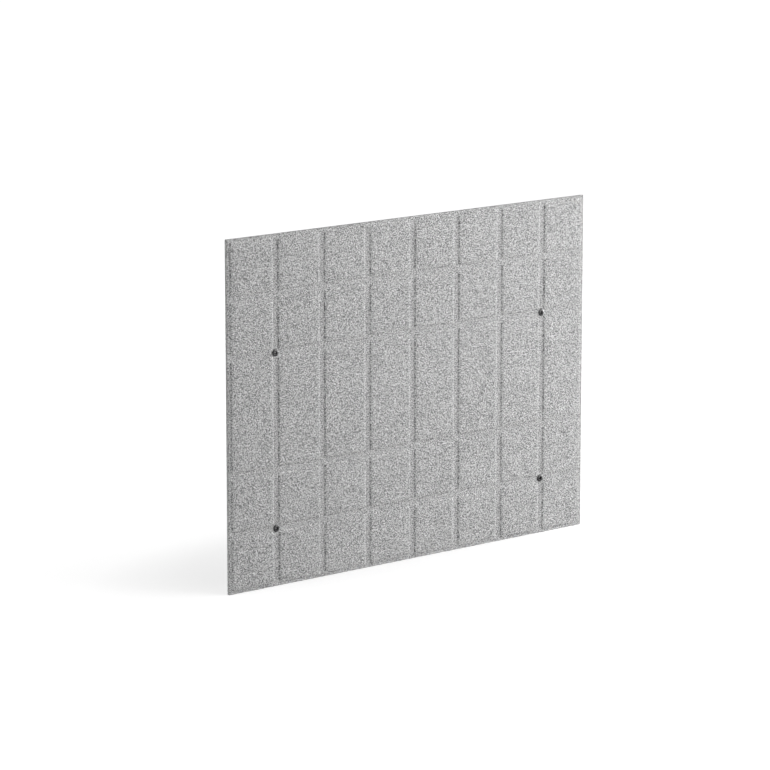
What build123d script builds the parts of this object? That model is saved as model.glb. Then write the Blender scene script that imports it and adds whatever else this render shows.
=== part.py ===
from build123d import *
from math import atan2, tan
import os

# Acoustic divider screen: two moulded felt shells back to back, held together at four crossings of
# their grooves by black bushes. Each bush is a domed flange with a slit sleeve that goes through both
# shells and snaps into a ring on the other side, and a bolt fits right through it.
# Millimetres, +Z up, the front faces -Y. The origin is the middle of the bottom edge, in the plane
# where the two shells meet.

os.makedirs("parts", exist_ok=True)

# Grid of the relief. Rows are listed from the bottom up, as shares of the pitch.
grid_pitch = 100.0
column_count = 8
row_height_shares = (1, 1, 2, 1, 1)

# Felt shell
felt_thickness = 3.0
rim_bevel = 0.8

# Raised pad: a groove's floor ends at the pad's foot, a steep shoulder follows, then a gentle crown
groove_floor_half_width = 4.4
shoulder_run = 3.6
shoulder_rise = 1.5
crown_run = 8.0
crown_rise = 0.5

# Bushes: which grooves they sit on, counted in pitches from the sides and from the bottom edge
bush_side_share = 1
bush_level_shares = (1, 4)

# Flange round the sleeve of the front half, with a bevelled edge and a domed face. The ring of the
# back half is as wide and has the same bevel.
flange_width = 2.75
flange_edge_height = 0.8
bevel_run = 1.2
bevel_rise = 0.7
dome_rise = 0.4
ring_edge_height = 0.6

# Sleeve of the front half: a barb at its tip hooks over the ring, and slits let it give
bore_radius = 2.65
sleeve_wall = 1.1
barb_depth = 0.25
barb_length = 0.5
slit_count = 2
slit_width = 0.8
slit_length = 4.0

# Clearances round the sleeve in the ring and in the felt, between the barb and the ring, and round a
# flange on its land
ring_clearance = 0.1
felt_clearance = 0.15
barb_clearance = 0.1
land_clearance = 0.3

# How far a cutting solid runs past what it cuts
overrun = 1.0

# Sizes that follow
panel_width = column_count * grid_pitch
panel_height = sum(row_height_shares) * grid_pitch
pad_rise = shoulder_rise + crown_rise
shoulder_angle = atan2(shoulder_rise, shoulder_run)
hollow_inset = felt_thickness * tan(shoulder_angle / 2)
sleeve_radius = bore_radius + sleeve_wall
flange_radius = sleeve_radius + flange_width
felt_hole_radius = sleeve_radius + felt_clearance
land_radius = flange_radius + land_clearance
ring_bore_radius = sleeve_radius + ring_clearance
ring_face = felt_thickness + ring_edge_height + bevel_rise
bevel_radius = flange_radius - bevel_run


def grid_cells():
    """Middle and size of every cell of the relief, as (x, z, width, height)."""
    cells = []
    for column in range(column_count):
        x = (column + 0.5) * grid_pitch - panel_width / 2
        row_foot = 0
        for share in row_height_shares:
            height = share * grid_pitch
            cells.append((x, row_foot + height / 2, grid_pitch, height))
            row_foot += height
    return cells


def bush_places():
    """Name and position of each bush, where two grooves cross."""
    side = panel_width / 2 - bush_side_share * grid_pitch
    low, high = (share * grid_pitch for share in bush_level_shares)
    return {
        "upper_left": (-side, high),
        "upper_right": (side, high),
        "lower_left": (-side, low),
        "lower_right": (side, low),
    }


def stepped_form(cell, levels):
    """Solid over one cell with sloping sides, through levels of (inset from the cell's edge, height)."""
    x, z, width, height = cell
    sections = []
    for inset, level in levels:
        outline = Rectangle(width - 2 * inset, height - 2 * inset)
        sections.append(Plane.XZ.offset(level) * Pos(x, z) * outline)
    return loft(sections, ruled=True)


def pad(cell):
    """Raised pad: foot, top of the shoulder, top of the crown."""
    foot = groove_floor_half_width
    return stepped_form(cell, [
        (foot, felt_thickness),
        (foot + shoulder_run, felt_thickness + shoulder_rise),
        (foot + shoulder_run + crown_run, felt_thickness + pad_rise),
    ])


def pad_hollow(cell):
    """Hollow behind a pad, which keeps the felt at one thickness."""
    foot = groove_floor_half_width + hollow_inset
    return stepped_form(cell, [(foot, 0), (foot + shoulder_run, pad_rise)])


def felt_shell():
    """Front shell: flat plate with a bevelled rim, the pads and the hollows behind them.

    Round each bush hole the corners of the pads give way to a round flat land for the flange.
    """
    outline = Plane.XZ * Pos(0, panel_height / 2) * Rectangle(panel_width, panel_height)
    plate = extrude(outline, felt_thickness)
    rim = plate.faces().sort_by(Axis.Y)[0].edges()
    shell = chamfer(rim, rim_bevel)
    cells = grid_cells()
    shell = shell + [pad(cell) for cell in cells]
    shell = shell - [pad_hollow(cell) for cell in cells]
    cuts = []
    for x, z in bush_places().values():
        land = Plane.XZ.offset(felt_thickness) * Pos(x, z) * Circle(land_radius)
        hole = Plane.XZ.offset(-overrun) * Pos(x, z) * Circle(felt_hole_radius)
        cuts.append(extrude(land, pad_rise + overrun))
        cuts.append(extrude(hole, felt_thickness + 2 * overrun))
    return shell - cuts


def turned(points):
    """Solid turned about Y, from a closed outline of (radius, y) points."""
    return revolve(make_face(Polyline(*points, close=True)), Axis.Y)


def front_bush():
    """Front half: the domed flange in front, and the slit sleeve with its barb behind the ring."""
    dome_edge = -felt_thickness - flange_edge_height
    dome_shoulder = dome_edge - bevel_rise
    hook = ring_face + barb_clearance
    tip = hook + barb_length
    half = turned([
        (bore_radius, dome_shoulder - dome_rise),
        (bevel_radius, dome_shoulder),
        (flange_radius, dome_edge),
        (flange_radius, -felt_thickness),
        (sleeve_radius, -felt_thickness),
        (sleeve_radius, hook),
        (sleeve_radius + barb_depth, hook),
        (sleeve_radius, tip),
        (bore_radius, tip),
    ])
    reach = flange_radius
    slit = Box(reach, slit_length + overrun, slit_width)
    slit = Pos(reach / 2, tip - (slit_length - overrun) / 2, 0) * slit
    slits = [Rot(0, 360 * number / slit_count, 0) * slit for number in range(slit_count)]
    return half - slits


def back_bush():
    """Back half: the ring that the sleeve snaps into."""
    return turned([
        (ring_bore_radius, felt_thickness),
        (flange_radius, felt_thickness),
        (flange_radius, felt_thickness + ring_edge_height),
        (bevel_radius, ring_face),
        (ring_bore_radius, ring_face),
    ])


nodes = {}
front_shell = felt_shell()
nodes["front_shell"] = front_shell
nodes["back_shell"] = mirror(front_shell, Plane.XZ)
front_half = front_bush()
back_half = back_bush()
for place, (x, z) in bush_places().items():
    nodes["front_bush_" + place] = Pos(x, 0, z) * front_half
    nodes["back_bush_" + place] = Pos(x, 0, z) * back_half

for name, solid in nodes.items():
    export_step(solid, "parts/" + name + ".step")
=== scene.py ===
import bpy
import bmesh
from math import cos, exp, hypot, log, pi, radians, sin
from mathutils import Matrix, Vector, noise


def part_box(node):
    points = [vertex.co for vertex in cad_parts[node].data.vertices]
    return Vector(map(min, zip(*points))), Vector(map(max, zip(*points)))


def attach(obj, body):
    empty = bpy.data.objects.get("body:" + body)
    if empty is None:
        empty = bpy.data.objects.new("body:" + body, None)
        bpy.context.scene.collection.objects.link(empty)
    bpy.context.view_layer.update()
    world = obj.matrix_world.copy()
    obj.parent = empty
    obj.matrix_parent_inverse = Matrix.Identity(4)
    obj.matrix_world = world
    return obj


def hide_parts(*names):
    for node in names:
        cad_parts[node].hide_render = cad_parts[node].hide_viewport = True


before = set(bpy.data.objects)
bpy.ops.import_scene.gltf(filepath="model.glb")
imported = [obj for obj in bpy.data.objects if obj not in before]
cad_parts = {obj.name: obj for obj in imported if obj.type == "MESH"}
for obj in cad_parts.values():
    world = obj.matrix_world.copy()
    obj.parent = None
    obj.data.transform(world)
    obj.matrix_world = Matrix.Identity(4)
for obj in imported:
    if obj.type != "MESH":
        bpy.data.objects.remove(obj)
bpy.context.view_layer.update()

# Acoustic divider screen. Metres, in the row frame: +Z up, the front faces -Y, the origin is the middle
# of the bottom edge in the plane where the two felt shells meet.

mm = 0.001

# Layout, from the frame
shell_low, shell_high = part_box("front_shell")
panel_width = shell_high[0] - shell_low[0]
panel_height = shell_high[2] - shell_low[2]
panel_middle = (0, 0, panel_height / 2)
pad_face = -shell_low[1]
column_count = 8
row_height_shares = (1, 1, 2, 1, 1)
grid_pitch = panel_width / column_count
places = ("upper_left", "upper_right", "lower_left", "lower_right")

# Felt shells
felt_thickness = 3.0 * mm
floor_half_width = 4.6 * mm
shoulder_run = 2.6 * mm
shoulder_rise = 1.0 * mm
crown_run = 8.0 * mm
crown_rise = pad_face - felt_thickness - shoulder_rise
corner_softness = 1.6 * mm
hollow_depth_share = 0.9
rim_radius = 0.45 * mm
rim_steps = 5
seam_radius = 0.35 * mm
seam_gap = 0.04 * mm

# Felt pads are never quite alike: how much lower they get at most, and over what distance this changes
dip_share = 0.04
dip_length = 130 * mm

# Distances from a groove's middle at which the mesh has lines, and how many spaces a pitch has between
# the outermost of them
line_millimetres = (2.0, 3.6, 4.6, 5.2, 5.8, 6.4, 7.0, 7.8, 8.8, 10.2, 12.2, 14.6, 17.2)
line_offsets = tuple(value * mm for value in line_millimetres)
spaces_per_pitch = 4

# Look of the felt. Scales are per metre. The strengths weigh each noise in a tone that runs from 0, dark,
# to 1, pale. Each kind of strand is turned about Y and Z by its two angles.
mottle_scale = 640.0
mottle_strength = 9.0
cloud_scale = 26.0
cloud_strength = 0.16
strand_strength = 1.6
strand_size = (0.35 * mm, 0.9 * mm, 3.0 * mm)
strand_turns = ((0.35, 0.2), (1.35, -0.3), (2.4, 0.1), (2.95, 0.4))
strand_shift = (0.13, 0.07, 0.19)
strand_height = 0.25 * mm
felt_tones = ((0.0, (0.08, 0.08, 0.082, 1)), (0.5, (0.42, 0.42, 0.42, 1)), (1.0, (0.80, 0.80, 0.80, 1)))

# Look of the bushes
peel_scale = 900.0
peel_height = 0.05 * mm
wear_scale = 240.0
plastic_tones = ((0.3, (0.010, 0.010, 0.010, 1)), (0.7, (0.020, 0.020, 0.021, 1)))

# Both halves of a bush
bush_low, bush_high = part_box("front_bush_upper_left")
flange_radius = (bush_high[0] - bush_low[0]) / 2
edge_round = 0.35 * mm
foot_bevel = 0.1 * mm
turn_steps = 96
arc_steps = 5
sharp_degrees = 35

# Front half: domed flange, and the slit sleeve with its barb
flange_face = -bush_low[1]
sleeve_tip = bush_high[1]
bore_radius = 2.65 * mm
sleeve_radius = 3.75 * mm
flange_edge_height = 0.8 * mm
flange_edge_degrees = (0, 60)
mouth_round = 0.35 * mm
mouth_degrees = (80, 180)
dome_steps = 10
tip_bevel = 0.2 * mm
barb_depth = 0.25 * mm
barb_length = 0.5 * mm
barb_bevel = 0.05 * mm
slit_count = 2
slit_width = 0.8 * mm
slit_length = 4.0 * mm

# Back half: the ring
ring_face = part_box("back_bush_upper_left")[1][1]
ring_bore_radius = 3.85 * mm
ring_edge_drop = 0.75 * mm
ring_edge_degrees = (0, 50)
ring_dome_run = 1.6 * mm
ring_dome_steps = 6
ring_mouth_bevel = 0.15 * mm

# Hole and round flat land in the felt at each bush
felt_hole_radius = 3.9 * mm
land_clearance = 0.3 * mm
land_radius = flange_radius + land_clearance
land_edge = 1.2 * mm

# Forms to cut with: round bars, and how far a slit's form runs past the sleeve's tip
bar_length = 30 * mm
bar_steps = 48
overrun = 1.0 * mm

# Light. The lamps are (name, place, diameter, power).
ambient_light = 0.4
lamps = (
    ("side_lamp", (2.95, -0.76, 0.62), 1.2, 66),
    ("front_lamp", (1.6, -2.2, 1.1), 2.2, 40),
    ("top_lamp", (0.0, -0.8, 1.55), 0.8, 1.2),
    ("back_lamp", (-2.6, 2.6, 0.9), 1.4, 46),
)

# Floor
floor_half_size = 40.0

# The floor's own glow: least in a band along the back of the screen, where its shadow falls, and more
# further out. The dimmer glow in that band is painted shadow, which deepens the lamps' real shadow there.
# The steps are (distance from the band's middle, glow), with distances along the screen counted as a share
# of their length.
painted_shadow_band_place = 0.12
painted_shadow_band_length_share = 0.45
glow_and_painted_shadow_steps = ((0.16, 0.55), (0.26, 0.65), (1.5, 0.78), (6.0, 0.82))
glow_reach = glow_and_painted_shadow_steps[-1][0]

# Camera, fitted to the corners of the front rim in the photograph. The last two values are in its pixels.
photo_size = 770
camera_azimuth = radians(40.170)
camera_elevation = radians(11.165)
camera_place = Vector((-4.05788, -4.73872, 1.53708))
sensor_width = 36.0
far_limit = 200.0
focal_pixels = 3693.5
shift_pixels = (-0.3, 0.5)

scene = bpy.context.scene


def new_object(name, mesh, material):
    """Object in the scene with a mesh and one material."""
    piece = bpy.data.objects.new(name, mesh)
    scene.collection.objects.link(piece)
    mesh.materials.append(material)
    return piece


def finished_mesh(name, maker):
    """Mesh from a bmesh of closed forms, with its faces turned outwards."""
    bmesh.ops.recalc_face_normals(maker, faces=maker.faces)
    mesh = bpy.data.meshes.new(name)
    maker.to_mesh(mesh)
    maker.free()
    return mesh


def cut_away(piece, maker):
    """Cuts closed forms out of a piece and deletes them."""
    mesh = bpy.data.meshes.new("cut")
    maker.to_mesh(mesh)
    maker.free()
    forms = bpy.data.objects.new("cut", mesh)
    scene.collection.objects.link(forms)
    modifier = piece.modifiers.new("cut", "BOOLEAN")
    modifier.operation = "DIFFERENCE"
    modifier.solver = "EXACT"
    modifier.object = forms
    bpy.context.view_layer.update()
    evaluated = piece.evaluated_get(bpy.context.evaluated_depsgraph_get())
    result = bpy.data.meshes.new_from_object(evaluated)
    piece.modifiers.clear()
    old = piece.data
    piece.data = result
    bpy.data.meshes.remove(old)
    bpy.data.objects.remove(forms)
    bpy.data.meshes.remove(mesh)


class Nodes:
    """Short way to write a node tree."""

    def __init__(self, tree):
        self.tree = tree

    def feed(self, socket, value):
        """Gives a socket its value, or links it to the output that the value comes from."""
        if isinstance(value, bpy.types.NodeSocket):
            self.tree.links.new(value, socket)
        else:
            socket.default_value = value

    def add(self, kind, inputs=None, **settings):
        """New node with its inputs by name or number, and its own settings."""
        node = self.tree.nodes.new(kind)
        for key, value in settings.items():
            setattr(node, key, value)
        for key, value in (inputs or {}).items():
            self.feed(node.inputs[key], value)
        return node

    def math(self, operation, *values):
        """Result of a sum on values or outputs."""
        node = self.tree.nodes.new("ShaderNodeMath")
        node.operation = operation
        for socket, value in zip(node.inputs, values):
            self.feed(socket, value)
        return node.outputs[0]

    def ramp(self, share, steps):
        """Colour ramp through (position, colour) steps, at a share from 0 to 1."""
        node = self.add("ShaderNodeValToRGB", {"Fac": share})
        stops = node.color_ramp.elements
        while len(stops) < len(steps):
            stops.new(1.0)
        for stop, (position, colour) in zip(stops, steps):
            stop.position = position
            stop.color = colour
        return node.outputs["Color"]


def new_material(name):
    """Material with its node writer and its main shader."""
    material = bpy.data.materials.new(name)
    material.use_nodes = True
    return material, Nodes(material.node_tree), material.node_tree.nodes["Principled BSDF"]


# Materials

def felt_strands(nodes, coordinates):
    """Noises drawn out into short strands, one for each way that they lie."""
    strands = []
    for number, (turn, tilt) in enumerate(strand_turns):
        turned = nodes.add("ShaderNodeMapping", {
            "Vector": coordinates,
            "Location": tuple(shift * number for shift in strand_shift),
            "Rotation": (0.0, turn, tilt),
            "Scale": strand_size}, vector_type="TEXTURE")
        strand = nodes.add("ShaderNodeTexNoise", {
            "Vector": turned.outputs[0], "Scale": 1.0, "Detail": 1.0, "Distortion": 0.8})
        strands.append(strand.outputs["Fac"])
    return strands


def felt_material():
    """Pressed felt of pale and dark grey fibres, mottled over a few millimetres."""
    material, nodes, shader = new_material("heathered_felt")
    coordinates = nodes.add("ShaderNodeTexCoord").outputs["Object"]
    mottle = nodes.add("ShaderNodeTexNoise", {
        "Vector": coordinates, "Scale": mottle_scale, "Detail": 2.0, "Roughness": 0.6, "Distortion": 0.3})
    cloud = nodes.add("ShaderNodeTexNoise", {
        "Vector": coordinates, "Scale": cloud_scale, "Detail": 3.0, "Roughness": 0.6})
    strands = felt_strands(nodes, coordinates)
    middle = 0.5
    mottled = nodes.math("SUBTRACT", mottle.outputs["Fac"], middle)
    clouded = nodes.math("SUBTRACT", cloud.outputs["Fac"], middle)
    pale = nodes.math("MAXIMUM", strands[0], strands[1])
    dark = nodes.math("MAXIMUM", strands[2], strands[3])
    stranded = nodes.math("SUBTRACT", pale, dark)
    tone = nodes.math("MULTIPLY", mottled, mottle_strength)
    tone = nodes.math("ADD", tone, nodes.math("MULTIPLY", stranded, strand_strength))
    tone = nodes.math("ADD", tone, nodes.math("MULTIPLY", clouded, cloud_strength))
    tone = nodes.math("ADD", tone, middle)
    nodes.feed(shader.inputs["Base Color"], nodes.ramp(tone, felt_tones))
    pale_height = nodes.math("ADD", strands[0], strands[1])
    dark_height = nodes.math("ADD", strands[2], strands[3])
    height = nodes.math("ADD", pale_height, dark_height)
    bump = nodes.add("ShaderNodeBump", {"Height": height, "Strength": 0.35, "Distance": strand_height})
    nodes.feed(shader.inputs["Normal"], bump.outputs["Normal"])
    shader.inputs["Roughness"].default_value = 0.95
    shader.inputs["Specular IOR Level"].default_value = 0.15
    shader.inputs["Sheen Weight"].default_value = 0.12
    shader.inputs["Sheen Roughness"].default_value = 0.5
    return material


def plastic_material():
    """Glossy black moulded nylon with a faint orange-peel surface."""
    material, nodes, shader = new_material("black_moulded_plastic")
    coordinates = nodes.add("ShaderNodeTexCoord").outputs["Object"]
    peel = nodes.add("ShaderNodeTexNoise", {"Vector": coordinates, "Scale": peel_scale, "Detail": 2.0})
    wear = nodes.add("ShaderNodeTexNoise", {"Vector": coordinates, "Scale": wear_scale, "Detail": 4.0})
    rough = nodes.add("ShaderNodeMapRange", {
        "Value": wear.outputs["Fac"], "From Min": 0.3, "From Max": 0.7, "To Min": 0.14, "To Max": 0.22})
    nodes.feed(shader.inputs["Roughness"], rough.outputs[0])
    nodes.feed(shader.inputs["Base Color"], nodes.ramp(wear.outputs["Fac"], plastic_tones))
    bump = nodes.add("ShaderNodeBump", {
        "Height": peel.outputs["Fac"], "Strength": 0.12, "Distance": peel_height})
    nodes.feed(shader.inputs["Normal"], bump.outputs["Normal"])
    shader.inputs["Specular IOR Level"].default_value = 0.5
    return material


felt = felt_material()
plastic = plastic_material()


# Felt shells

def middle_of(node):
    """Middle of a CAD node, seen from the front, as (x, z)."""
    low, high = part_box(node)
    return (low[0] + high[0]) / 2, (low[2] + high[2]) / 2


def groove_places():
    """Middles of the grooves: across the width, and up the height. The rims count as half grooves."""
    across = [column * grid_pitch - panel_width / 2 for column in range(column_count + 1)]
    up = [0.0]
    for share in row_height_shares:
        up.append(up[-1] + share * grid_pitch)
    return across, up


bush_places = {place: middle_of("front_bush_" + place) for place in places}
grooves_across, grooves_up = groove_places()


def mesh_lines(grooves):
    """Positions of the mesh lines along one direction: close together over a groove's sides."""
    lines = set(grooves)
    for near, far in zip(grooves, grooves[1:]):
        for offset in line_offsets:
            lines.add(near + offset)
            lines.add(far - offset)
        start, end = near + line_offsets[-1], far - line_offsets[-1]
        count = round(spaces_per_pitch * (far - near) / grid_pitch)
        for number in range(1, count):
            lines.add(start + (end - start) * number / count)
    first, last = grooves[0] + rim_radius, grooves[-1] - rim_radius
    return sorted([first, last] + [line for line in lines if first < line < last])


def inside_cell(value, grooves):
    """Distance to the foot of the pad on either side, within the cell that holds the value."""
    for near, far in zip(grooves, grooves[1:]):
        if value <= far or far == grooves[-1]:
            return value - near - floor_half_width, far - floor_half_width - value


def soft_least(values, softness):
    """Least of the values, rounded off where two are alike."""
    least = min(values)
    return least - softness * log(sum(exp((least - value) / softness) for value in values))


def pad_height(x, z):
    """Height of the relief over the grooves' floor: a steep shoulder under a wide round crown."""
    inset = soft_least(inside_cell(x, grooves_across) + inside_cell(z, grooves_up), corner_softness)
    if inset <= 0:
        return 0.0
    share = min(inset / shoulder_run, 1.0)
    shoulder = share * share * (3 - 2 * share)
    crown = 1 - (1 - min(inset / crown_run, 1.0)) ** 2
    return shoulder_rise * shoulder + crown_rise * crown


def land_share(x, z):
    """1 on the flat land round a bush, falling to 0 just outside it."""
    distance = min(hypot(x - bush_x, z - bush_z) for bush_x, bush_z in bush_places.values())
    return min(max((land_radius + land_edge - distance) / land_edge, 0.0), 1.0)


def dip(x, z, seed):
    """Share by which the relief is lower at a place, different in each shell."""
    return max(0.0, noise.noise(Vector((x / dip_length, seed, z / dip_length)))) * dip_share


def rim_profile():
    """Section of the rim as (distance out from the outer face's last line, depth)."""
    points = []
    for step in range(1, rim_steps + 1):
        angle = step / rim_steps * pi / 2
        points.append((rim_radius * sin(angle), felt_thickness - rim_radius * (1 - cos(angle))))
    for step in range(rim_steps):
        angle = step / (rim_steps - 1) * pi / 2
        out = rim_radius - seam_radius * (1 - cos(angle))
        points.append((out, seam_gap + seam_radius * (1 - sin(angle))))
    return points


def border_keys(last_column, last_row):
    """The mesh's outermost points, once round, as (column, row)."""
    border = [(column, 0) for column in range(last_column)]
    border += [(last_column, row) for row in range(last_row)]
    border += [(column, last_row) for column in range(last_column, 0, -1)]
    border += [(0, row) for row in range(last_row, 0, -1)]
    return border


def shell_mesh(name, side, seed):
    """Closed felt shell. side is -1 for the front and 1 for the back."""
    across = mesh_lines(grooves_across)
    up = mesh_lines(grooves_up)
    maker = bmesh.new()
    outer, inner = {}, {}
    for column, x in enumerate(across):
        for row, z in enumerate(up):
            height = pad_height(x, z) * (1 - land_share(x, z)) * (1 - dip(x, z, seed))
            depth = seam_gap + height * hollow_depth_share
            outer[column, row] = maker.verts.new((x, side * (felt_thickness + height), z))
            inner[column, row] = maker.verts.new((x, side * depth, z))
    last_column, last_row = len(across) - 1, len(up) - 1
    for column in range(last_column):
        for row in range(last_row):
            corners = ((column, row), (column + 1, row), (column + 1, row + 1), (column, row + 1))
            maker.faces.new([outer[corner] for corner in corners])
            maker.faces.new([inner[corner] for corner in reversed(corners)])
    border = border_keys(last_column, last_row)
    rings = [[outer[key] for key in border]]
    for out, depth in rim_profile():
        ring = []
        for column, row in border:
            x = across[column] + out * ((column == last_column) - (column == 0))
            z = up[row] + out * ((row == last_row) - (row == 0))
            ring.append(maker.verts.new((x, side * depth, z)))
        rings.append(ring)
    rings.append([inner[key] for key in border])
    count = len(border)
    for near, far in zip(rings, rings[1:]):
        for number in range(count):
            after = (number + 1) % count
            maker.faces.new((near[number], far[number], far[after], near[after]))
    mesh = finished_mesh(name, maker)
    mesh.shade_smooth()
    return mesh


def hole_bars():
    """Closed round bars along Y, one through each bush hole of the felt."""
    maker = bmesh.new()
    for x, z in bush_places.values():
        place = Matrix.Translation((x, 0, z)) @ Matrix.Rotation(pi / 2, 4, "X")
        bmesh.ops.create_cone(
            maker, cap_ends=True, segments=bar_steps, radius1=felt_hole_radius, radius2=felt_hole_radius,
            depth=bar_length, matrix=place)
    return maker


def felt_shell(name, node, side, seed):
    """One felt shell with its bush holes, in place of its CAD node."""
    piece = new_object(name, shell_mesh(name, side, seed), felt)
    cut_away(piece, hole_bars())
    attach(piece, "root")
    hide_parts(node)


felt_shell("front_felt", "front_shell", side=-1, seed=3.1)
felt_shell("back_felt", "back_shell", side=1, seed=8.7)


# Bushes

def arc(centre, radius, degrees):
    """Points of a round stretch between two angles."""
    start, end = degrees
    points = []
    for step in range(arc_steps + 1):
        angle = radians(start + (end - start) * step / arc_steps)
        points.append((centre[0] + radius * cos(angle), centre[1] + radius * sin(angle)))
    return points


def foot_profile(inner_radius):
    """Underside that lies on the felt, from a radius to the bevel at the edge, as (radius, distance)."""
    return [
        (inner_radius, felt_thickness),
        (flange_radius - foot_bevel, felt_thickness),
        (flange_radius, felt_thickness + foot_bevel),
    ]


def dome_profile():
    """Domed face from the flange's edge to the bore, as (radius, height over the felt)."""
    top = flange_face - felt_thickness
    edge_middle = (flange_radius - edge_round, flange_edge_height - edge_round / 2)
    points = arc(edge_middle, edge_round, flange_edge_degrees)
    start_radius, start_level = points[-1]
    end_radius = bore_radius + mouth_round
    for step in range(1, dome_steps + 1):
        radius = start_radius + (end_radius - start_radius) * step / dome_steps
        share = (start_radius ** 2 - radius ** 2) / (start_radius ** 2 - end_radius ** 2)
        points.append((radius, start_level + (top - start_level) * share))
    return points + arc((end_radius, top - mouth_round), mouth_round, mouth_degrees)


def turned_mesh(name, x, z, profile, direction):
    """Closed form turned about Y at a place, from (radius, distance) points. direction is -1 to the front."""
    maker = bmesh.new()
    rings = []
    for radius, distance in profile:
        ring = []
        for step in range(turn_steps):
            angle = 2 * pi * step / turn_steps
            place = (x + radius * cos(angle), direction * distance, z + radius * sin(angle))
            ring.append(maker.verts.new(place))
        rings.append(ring)
    for near, far in zip(rings, rings[1:] + rings[:1]):
        for step in range(turn_steps):
            after = (step + 1) % turn_steps
            maker.faces.new((near[step], near[after], far[after], far[step]))
    return finished_mesh(name, maker)


def finish_plastic(piece, node):
    """Shading, body and CAD node of a bush piece."""
    piece.data.shade_smooth()
    piece.data.set_sharp_from_angle(angle=radians(sharp_degrees))
    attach(piece, "root")
    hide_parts(node)


def sleeve_slits(x, z):
    """Closed boxes that cut the slits into a sleeve from its tip."""
    maker = bmesh.new()
    length = slit_length + overrun
    for number in range(slit_count):
        angle = 2 * pi * number / slit_count
        place = (
            Matrix.Translation((x, sleeve_tip + overrun - length / 2, z))
            @ Matrix.Rotation(angle, 4, "Y")
            @ Matrix.Translation((flange_radius / 2, 0, 0))
            @ Matrix.Diagonal((flange_radius, length, slit_width, 1)))
        bmesh.ops.create_cube(maker, size=1.0, matrix=place)
    return maker


def front_bush(place):
    """Domed flange, and a slit sleeve with a barb at its tip that reaches through to the back.

    The profile counts distances towards the front, so those of the tip are below zero.
    """
    node = "front_bush_" + place
    x, z = middle_of(node)
    hook = sleeve_tip - barb_length
    profile = foot_profile(sleeve_radius)
    profile += [(radius, felt_thickness + level) for radius, level in dome_profile()]
    profile += [
        (bore_radius, -sleeve_tip + tip_bevel),
        (bore_radius + tip_bevel, -sleeve_tip),
        (sleeve_radius - barb_bevel, -sleeve_tip),
        (sleeve_radius + barb_depth, -hook - barb_bevel),
        (sleeve_radius + barb_depth, -hook),
        (sleeve_radius, -hook),
    ]
    piece = new_object("bush_" + place, turned_mesh(node, x, z, profile, direction=-1), plastic)
    cut_away(piece, sleeve_slits(x, z))
    finish_plastic(piece, node)


def back_bush(place):
    """Ring that the sleeve snaps into."""
    node = "back_bush_" + place
    x, z = middle_of(node)
    profile = foot_profile(ring_bore_radius)
    edge_middle = (flange_radius - edge_round, ring_face - ring_edge_drop)
    profile += arc(edge_middle, edge_round, ring_edge_degrees)
    start_radius, start_level = profile[-1]
    end_radius = flange_radius - ring_dome_run
    for step in range(1, ring_dome_steps + 1):
        radius = start_radius + (end_radius - start_radius) * step / ring_dome_steps
        share = 1 - ((radius - end_radius) / (start_radius - end_radius)) ** 2
        profile.append((radius, start_level + (ring_face - start_level) * share))
    profile += [
        (ring_bore_radius + ring_mouth_bevel, ring_face),
        (ring_bore_radius, ring_face - ring_mouth_bevel),
    ]
    piece = new_object("ring_" + place, turned_mesh(node, x, z, profile, direction=1), plastic)
    finish_plastic(piece, node)


for place in places:
    front_bush(place)
    back_bush(place)


# Floor, world, lamps and camera

def seen_directly(nodes):
    """1 for what the camera, reflections and clear materials see, 0 for light on the object."""
    path = nodes.add("ShaderNodeLightPath")
    seen = nodes.math("MAXIMUM", path.outputs["Is Camera Ray"], path.outputs["Is Glossy Ray"])
    return nodes.math("MAXIMUM", seen, path.outputs["Is Transmission Ray"])


def white_with_painted_shadow(nodes, lit):
    """Adds the floor's own glow to its lit surface, where it is seen directly. The glow is dimmer in a band
    behind the screen, which paints shadow there.
    """
    coordinates = nodes.add("ShaderNodeTexCoord").outputs["Object"]
    # Distance from a band behind the screen, where the glow is lowest: painted shadow.
    painted_shadow_band = nodes.add("ShaderNodeMapping", {
        "Vector": coordinates, "Location": (0.0, -painted_shadow_band_place, 0.0), "Scale": (painted_shadow_band_length_share, 1.0, 1.0)})
    distance = nodes.add("ShaderNodeVectorMath", {0: painted_shadow_band.outputs[0]}, operation="LENGTH")
    share = nodes.math("DIVIDE", distance.outputs["Value"], glow_reach)
    steps = [(reach / glow_reach, (level, level, level, 1)) for reach, level in glow_and_painted_shadow_steps]
    strength = nodes.math("MULTIPLY", seen_directly(nodes), nodes.ramp(share, steps))
    white = nodes.add("ShaderNodeEmission", {"Color": (1, 1, 1, 1), "Strength": strength})
    return nodes.add("ShaderNodeAddShader", {0: lit, 1: white.outputs[0]}).outputs[0]


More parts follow.
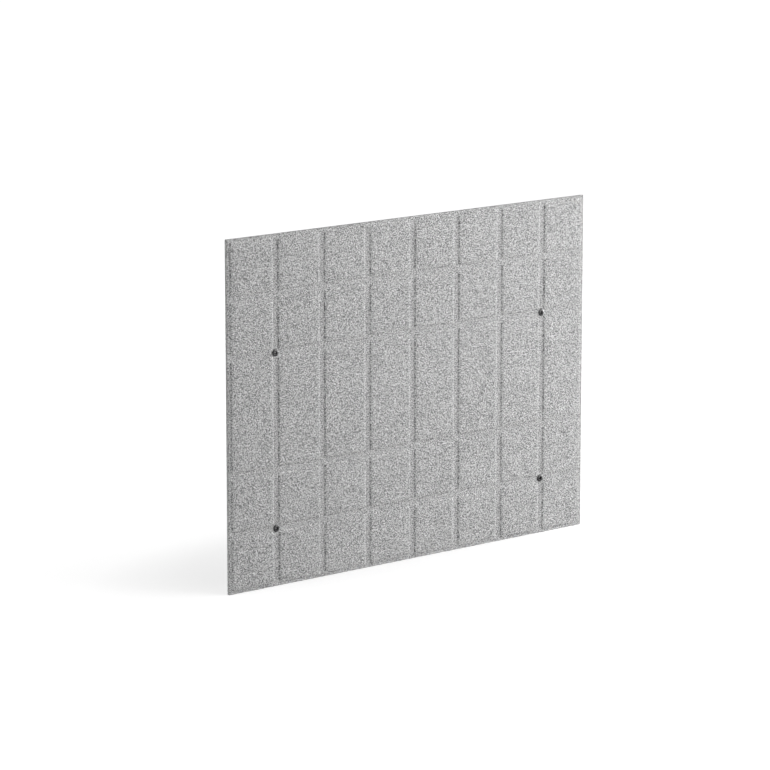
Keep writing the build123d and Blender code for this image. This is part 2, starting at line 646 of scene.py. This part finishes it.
def make_floor():
    """Pale floor that shows white but for the shadow: the lamps' real shadow, deepened by painted shadow in a
    band behind the screen.
    """
    size = floor_half_size
    mesh = bpy.data.meshes.new("floor")
    corners = [(-size, -size, 0), (size, -size, 0), (size, size, 0), (-size, size, 0)]
    mesh.from_pydata(corners, [], [(0, 1, 2, 3)])
    material, nodes, shader = new_material("pale_floor")
    shader.inputs["Base Color"].default_value = (0.6, 0.6, 0.6, 1)
    shader.inputs["Roughness"].default_value = 1.0
    shader.inputs["Specular IOR Level"].default_value = 0.0
    surface = white_with_painted_shadow(nodes, shader.outputs[0])
    nodes.feed(nodes.tree.nodes["Material Output"].inputs["Surface"], surface)
    new_object("floor", mesh, material)


def make_world():
    """Even light all round, which shows as plain white."""
    world = bpy.data.worlds.new("studio")
    world.use_nodes = True
    scene.world = world
    nodes = Nodes(world.node_tree)
    ambient = world.node_tree.nodes["Background"]
    ambient.inputs["Color"].default_value = (1, 1, 1, 1)
    ambient.inputs["Strength"].default_value = ambient_light
    white = nodes.add("ShaderNodeBackground", {"Color": (1, 1, 1, 1), "Strength": 1.0})
    mixed = nodes.add("ShaderNodeMixShader", {
        0: seen_directly(nodes), 1: ambient.outputs[0], 2: white.outputs[0]})
    nodes.feed(world.node_tree.nodes["World Output"].inputs["Surface"], mixed.outputs[0])


def soft_lamp(name, place, diameter, power):
    """Round lamp that faces the middle of the panel."""
    lamp = bpy.data.lights.new(name, "AREA")
    lamp.shape = "DISK"
    lamp.size = diameter
    lamp.energy = power
    holder = bpy.data.objects.new(name, lamp)
    scene.collection.objects.link(holder)
    holder.location = place
    holder.rotation_euler = (Vector(panel_middle) - Vector(place)).to_track_quat("-Z", "Y").to_euler()


def make_camera():
    """Camera at the photograph's place, without any roll."""
    lens = bpy.data.cameras.new("camera")
    lens.sensor_width = sensor_width
    lens.lens = focal_pixels / photo_size * sensor_width
    lens.clip_end = far_limit
    lens.shift_x = shift_pixels[0] / photo_size
    lens.shift_y = shift_pixels[1] / photo_size
    holder = bpy.data.objects.new("camera", lens)
    scene.collection.objects.link(holder)
    forward = Vector((
        sin(camera_azimuth) * cos(camera_elevation),
        cos(camera_azimuth) * cos(camera_elevation),
        -sin(camera_elevation)))
    right = Vector((cos(camera_azimuth), -sin(camera_azimuth), 0))
    upward = right.cross(forward)
    holder.matrix_world = Matrix((
        (right.x, upward.x, -forward.x, camera_place.x),
        (right.y, upward.y, -forward.y, camera_place.y),
        (right.z, upward.z, -forward.z, camera_place.z),
        (0, 0, 0, 1)))
    scene.camera = holder


make_floor()
make_world()
make_camera()
for lamp in lamps:
    soft_lamp(*lamp)
scene.view_settings.view_transform = "Standard"
